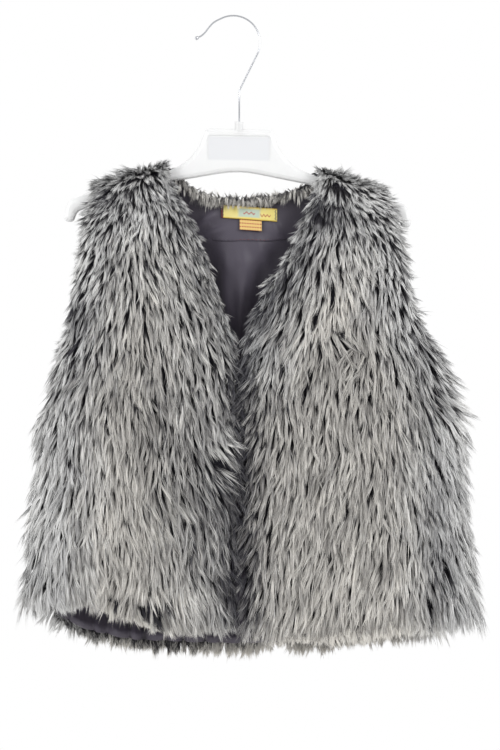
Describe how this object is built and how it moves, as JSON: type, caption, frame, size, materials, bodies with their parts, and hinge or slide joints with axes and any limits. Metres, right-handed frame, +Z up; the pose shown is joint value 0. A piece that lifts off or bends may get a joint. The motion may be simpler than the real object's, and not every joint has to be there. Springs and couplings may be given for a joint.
{
  "type": "fur sleeveless jacket on a hanger",
  "caption": "Child's open sleeveless jacket of shaggy long-pile fur cloth with a V neck and satin lining, hanging on a moulded plastic hanger with a wire hook.",
  "frame": {"origin": "inside of the hook's crest, where a rail carries the hanger", "axes": "+Z up, -Y out of the jacket's front, +X to the wearer's left"},
  "size_m": [0.3852, 0.0809, 0.5559],
  "materials": {
    "fur": "long shaggy pile, dark roots and pale tips",
    "satin": "violet-grey lining satin with a soft sheen",
    "label": "woven yellow ribbon, bare",
    "hanger_plastic": "moulded white plastic, semi-gloss",
    "hook_steel": "drawn and plated wire"
  },
  "bodies": {
    "root": {"right_front": "fur", "left_front": "fur", "back": "fur", "right_front_lining": "satin", "left_front_lining": "satin", "back_lining": "satin", "back_neck_facing": "satin", "neck_label": "label", "size_tab": "label", "hanger_body": "hanger_plastic", "hanger_hook": "hook_steel"}
  },
  "joints": []
}
